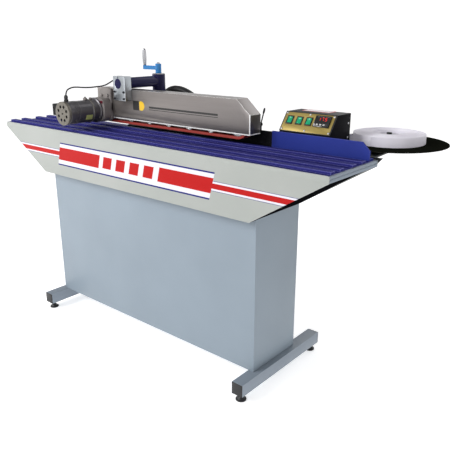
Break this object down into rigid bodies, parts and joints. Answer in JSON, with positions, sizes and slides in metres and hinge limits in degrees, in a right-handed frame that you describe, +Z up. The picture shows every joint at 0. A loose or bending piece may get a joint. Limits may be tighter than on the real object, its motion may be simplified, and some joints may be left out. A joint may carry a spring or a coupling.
{
  "type": "edge banding machine",
  "caption": "Floor-standing edge banding machine with a ribbed feed table, an overhead belt feed on a crank-adjusted arm, a sloped control box and a flat tape reel.",
  "frame": {"origin": "bottom centre of the machine's overall box, on the floor", "axes": "+X along the table towards the infeed end, +Y to the rear, +Z up"},
  "size_m": [1.9686, 0.847, 1.2533],
  "materials": {
    "apron_grey": "satin warm-grey paint with red and blue decal stripes",
    "bar_steel": "brushed flat bar",
    "bed_blue": "deep royal blue semi-gloss paint",
    "belt_red": "brick-red rubber",
    "black_plastic": "matte black",
    "bright_steel": "ground and polished",
    "cable_black": "smooth black sheath",
    "cast_alloy": "machined aluminium",
    "controller_black": "gloss black with a red display",
    "crank_blue": "sky-blue gloss",
    "dark_sheet": "black satin paint",
    "frame_grey": "satin light blue-grey paint",
    "gear_grey": "cast, dark grey-brown paint",
    "hose_black": "ribbed black rubber",
    "key_white": "matte white",
    "motor_grey": "dark grey-brown paint",
    "navy": "dark navy semi-gloss paint",
    "panel_gold": "satin brass face",
    "reel_dark": "dark grey-green paint",
    "roller_grey": "turned aluminium",
    "roller_rubber": "black rubber",
    "stainless": "long-grain brushed",
    "switch_green": "translucent green",
    "tape_white": "white edge banding",
    "zinc": "zinc-plated fasteners"
  },
  "bodies": {
    "frame": {"foot_bars": "frame_grey", "foot_bar_plugs": "black_plastic", "cabinet_shell": "frame_grey", "cabinet_rear_panel": "frame_grey", "cover_screws": "zinc", "table_bed": "bed_blue", "bed_ribs": "bed_blue", "front_apron": "apron_grey", "rear_apron": "apron_grey", "end_bars": "bar_steel", "end_skirts": "dark_sheet", "infeed_fence": "bed_blue", "machine_deck": "dark_sheet", "tape_guide": "dark_sheet", "hot_air_unit": "dark_sheet", "air_hose": "hose_black", "column_post": "navy", "rear_bracket": "reel_dark", "control_box": "dark_sheet", "control_panel": "panel_gold", "switch_bezels": "black_plastic", "temperature_controller": "controller_black", "edge_tape": "tape_white"},
    "levelling_foot_1": {"levelling_foot_1": "black_plastic"},
    "levelling_foot_2": {"levelling_foot_2": "black_plastic"},
    "levelling_foot_3": {"levelling_foot_3": "black_plastic"},
    "levelling_foot_4": {"levelling_foot_4": "black_plastic"},
    "tape_clamp_lever": {"tape_clamp_lever": "black_plastic"},
    "tape_feed_roller": {"tape_feed_roller": "roller_rubber"},
    "press_roller": {"press_roller": "roller_rubber"},
    "reel": {"reel_disc": "reel_dark", "tape_roll": "tape_white"},
    "rocker_switch_1": {"rocker_switch_1": "switch_green"},
    "rocker_switch_2": {"rocker_switch_2": "switch_green"},
    "rocker_switch_3": {"rocker_switch_3": "switch_green"},
    "controller_key_1": {"controller_key_1": "key_white"},
    "controller_key_2": {"controller_key_2": "key_white"},
    "controller_key_3": {"controller_key_3": "key_white"},
    "feed_head": {"lift_arm": "navy", "clamp_block": "cast_alloy", "clamp_bolts": "zinc", "housing_cover": "stainless", "head_frame": "dark_sheet", "feed_belt": "belt_red", "gearbox": "gear_grey", "motor_body": "motor_grey", "fan_cover": "motor_grey", "terminal_box": "dark_sheet", "cable_glands": "black_plastic", "motor_cable": "cable_black"},
    "crank": {"crank_arm": "crank_blue", "lift_spindle": "bright_steel"},
    "crank_grip": {"crank_grip": "bright_steel"},
    "drive_pulley": {"drive_pulley": "roller_grey"},
    "idler_pulley": {"idler_pulley": "roller_grey"},
    "pressure_roller_1": {"pressure_roller_1": "roller_grey"},
    "pressure_roller_2": {"pressure_roller_2": "roller_grey"},
    "pressure_roller_3": {"pressure_roller_3": "roller_grey"},
    "pressure_roller_4": {"pressure_roller_4": "roller_grey"},
    "pressure_roller_5": {"pressure_roller_5": "roller_grey"}
  },
  "joints": [
    {"name": "levelling_foot_1_screw", "type": "slide", "parent": "frame", "child": "levelling_foot_1", "axis": [0, 0, -1], "range_m": [0, 0.015]},
    {"name": "levelling_foot_2_screw", "type": "slide", "parent": "frame", "child": "levelling_foot_2", "axis": [0, 0, -1], "range_m": [0, 0.015]},
    {"name": "levelling_foot_3_screw", "type": "slide", "parent": "frame", "child": "levelling_foot_3", "axis": [0, 0, -1], "range_m": [0, 0.015]},
    {"name": "levelling_foot_4_screw", "type": "slide", "parent": "frame", "child": "levelling_foot_4", "axis": [0, 0, -1], "range_m": [0, 0.015]},
    {"name": "clamp_lever_pivot", "type": "hinge", "parent": "frame", "child": "tape_clamp_lever", "pos_m": [0.36325, -0.0695, 0.984], "axis": [0, 1, 0], "range_deg": [0, 65]},
    {"name": "tape_feed_roller_spin", "type": "hinge", "parent": "frame", "child": "tape_feed_roller", "pos_m": [0.19225, -0.0652, 0.9127], "axis": [0, 0, 1], "continuous": true},
    {"name": "press_roller_spin", "type": "hinge", "parent": "frame", "child": "press_roller", "pos_m": [-0.03975, -0.0592, 0.9127], "axis": [0, 0, 1], "continuous": true},
    {"name": "reel_spin", "type": "hinge", "parent": "frame", "child": "reel", "pos_m": [0.76525, 0.2045, 0.925], "axis": [0, 0, 1], "continuous": true},
    {"name": "rocker_switch_1_tilt", "type": "hinge", "parent": "frame", "child": "rocker_switch_1", "pos_m": [0.48325, -0.04695, 1.00857], "axis": [1, 0, 0], "range_deg": [-8, 8]},
    {"name": "rocker_switch_2_tilt", "type": "hinge", "parent": "frame", "child": "rocker_switch_2", "pos_m": [0.52425, -0.04695, 1.00857], "axis": [1, 0, 0], "range_deg": [-8, 8]},
    {"name": "rocker_switch_3_tilt", "type": "hinge", "parent": "frame", "child": "rocker_switch_3", "pos_m": [0.56525, -0.04695, 1.00857], "axis": [1, 0, 0], "range_deg": [-8, 8]},
    {"name": "controller_key_1_press", "type": "slide", "parent": "frame", "child": "controller_key_1", "axis": [0, 0.8072, -0.5903], "range_m": [0, 0.0008], "stiffness_N_per_m": 400, "springref_m": -0.0005},
    {"name": "controller_key_2_press", "type": "slide", "parent": "frame", "child": "controller_key_2", "axis": [0, 0.8072, -0.5903], "range_m": [0, 0.0008], "stiffness_N_per_m": 400, "springref_m": -0.0005},
    {"name": "controller_key_3_press", "type": "slide", "parent": "frame", "child": "controller_key_3", "axis": [0, 0.8072, -0.5903], "range_m": [0, 0.0008], "stiffness_N_per_m": 400, "springref_m": -0.0005},
    {"name": "head_lift", "type": "slide", "parent": "frame", "child": "feed_head", "axis": [0, 0, 1], "range_m": [-0.012, 0.05]},
    {"name": "crank_turn", "type": "hinge", "parent": "feed_head", "child": "crank", "pos_m": [-0.31875, 0.0455, 1.14], "axis": [0, 0, 1], "range_deg": [-1090, 4510]},
    {"name": "crank_grip_spin", "type": "hinge", "parent": "crank", "child": "crank_grip", "pos_m": [-0.41075, 0.0455, 1.159], "axis": [0, 0, 1], "continuous": true},
    {"name": "drive_pulley_spin", "type": "hinge", "parent": "feed_head", "child": "drive_pulley", "pos_m": [-0.44175, -0.1565, 0.987], "axis": [0, 1, 0], "continuous": true},
    {"name": "idler_pulley_spin", "type": "hinge", "parent": "feed_head", "child": "idler_pulley", "pos_m": [0.31525, -0.1565, 0.987], "axis": [0, 1, 0], "continuous": true},
    {"name": "pressure_roller_1_spin", "type": "hinge", "parent": "feed_head", "child": "pressure_roller_1", "pos_m": [-0.29475, -0.1565, 0.9623], "axis": [0, 1, 0], "continuous": true},
    {"name": "pressure_roller_2_spin", "type": "hinge", "parent": "feed_head", "child": "pressure_roller_2", "pos_m": [-0.17625, -0.1565, 0.9623], "axis": [0, 1, 0], "continuous": true},
    {"name": "pressure_roller_3_spin", "type": "hinge", "parent": "feed_head", "child": "pressure_roller_3", "pos_m": [-0.05775, -0.1565, 0.9623], "axis": [0, 1, 0], "continuous": true},
    {"name": "pressure_roller_4_spin", "type": "hinge", "parent": "feed_head", "child": "pressure_roller_4", "pos_m": [0.06075, -0.1565, 0.9623], "axis": [0, 1, 0], "continuous": true},
    {"name": "pressure_roller_5_spin", "type": "hinge", "parent": "feed_head", "child": "pressure_roller_5", "pos_m": [0.17925, -0.1565, 0.9623], "axis": [0, 1, 0], "continuous": true}
  ],
  "couplings": [
    {"joint": "crank_turn", "follows": "head_lift", "rad_per_m": 1570.8},
    {"joint": "idler_pulley_spin", "follows": "drive_pulley_spin", "ratio": 1},
    {"joint": "pressure_roller_1_spin", "follows": "drive_pulley_spin", "ratio": 2.25},
    {"joint": "pressure_roller_2_spin", "follows": "drive_pulley_spin", "ratio": 2.25},
    {"joint": "pressure_roller_3_spin", "follows": "drive_pulley_spin", "ratio": 2.25},
    {"joint": "pressure_roller_4_spin", "follows": "drive_pulley_spin", "ratio": 2.25},
    {"joint": "pressure_roller_5_spin", "follows": "drive_pulley_spin", "ratio": 2.25}
  ]
}
